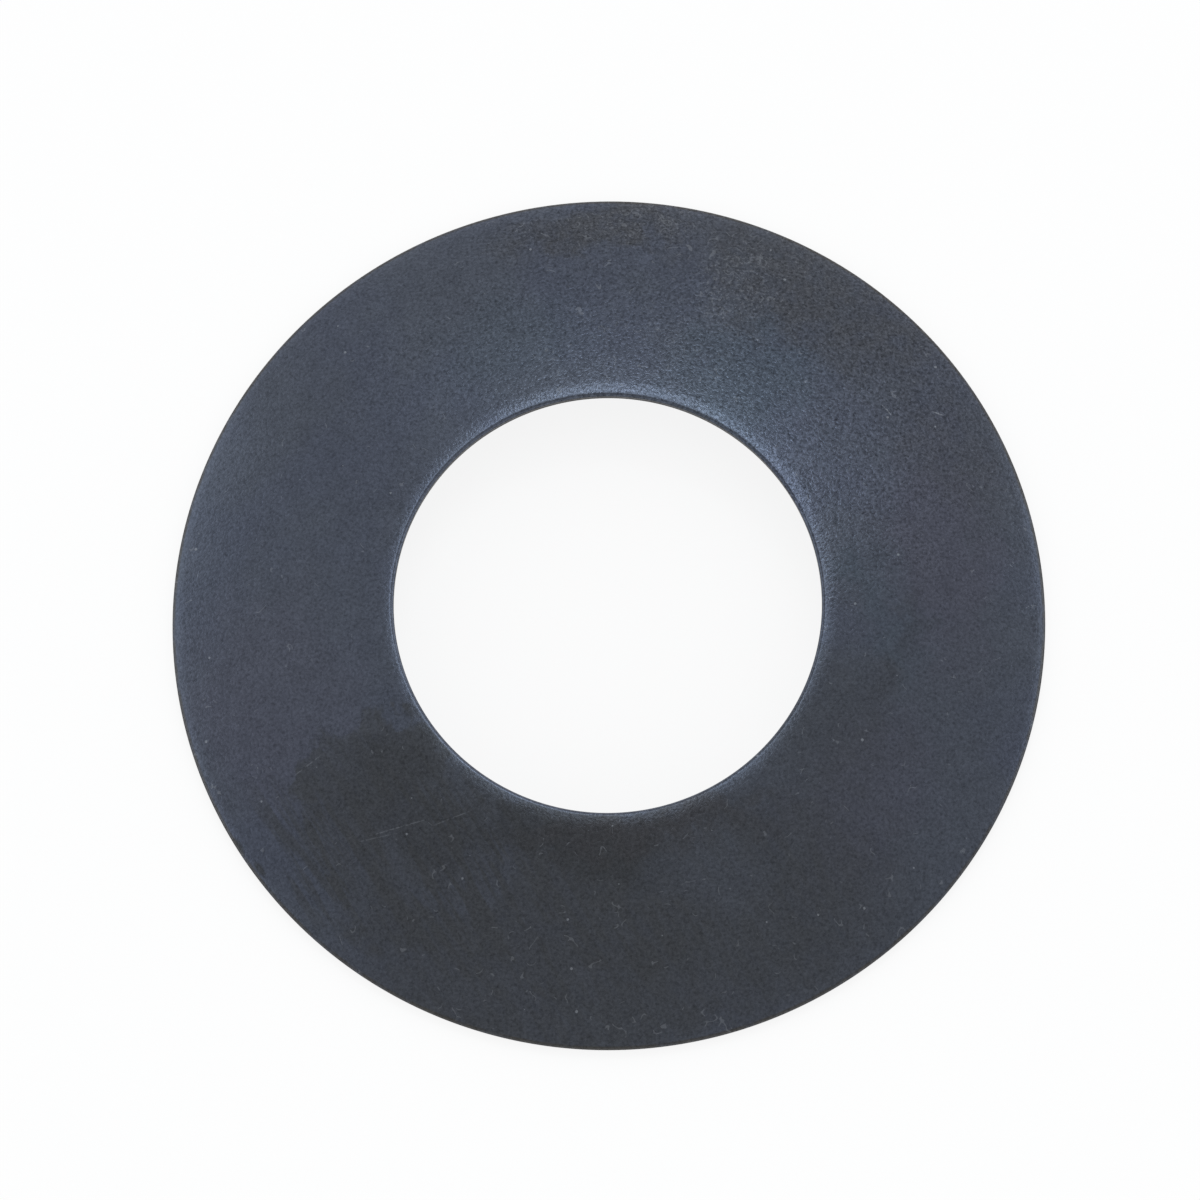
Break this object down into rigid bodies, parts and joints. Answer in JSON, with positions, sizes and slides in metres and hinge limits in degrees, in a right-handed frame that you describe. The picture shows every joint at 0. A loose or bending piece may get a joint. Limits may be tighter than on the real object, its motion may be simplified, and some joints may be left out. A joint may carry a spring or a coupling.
{
  "type": "dished thrust washer",
  "caption": "Thin steel ring pressed to a shallow spherical dish, with a round centre bore and softly rolled edges.",
  "frame": {"origin": "on the washer's axis, in the plane that the low edge of its rim rests on", "axes": "+Z along the axis, out of the convex face; the washer is round, so +X and +Y are free"},
  "size_m": [0.0458, 0.0458, 0.0048],
  "materials": {
    "phosphated_steel": "satin dark blue-grey conversion coat on pressed steel, with a trace of oil"
  },
  "bodies": {
    "root": {"thrust_washer": "phosphated_steel"}
  },
  "joints": []
}
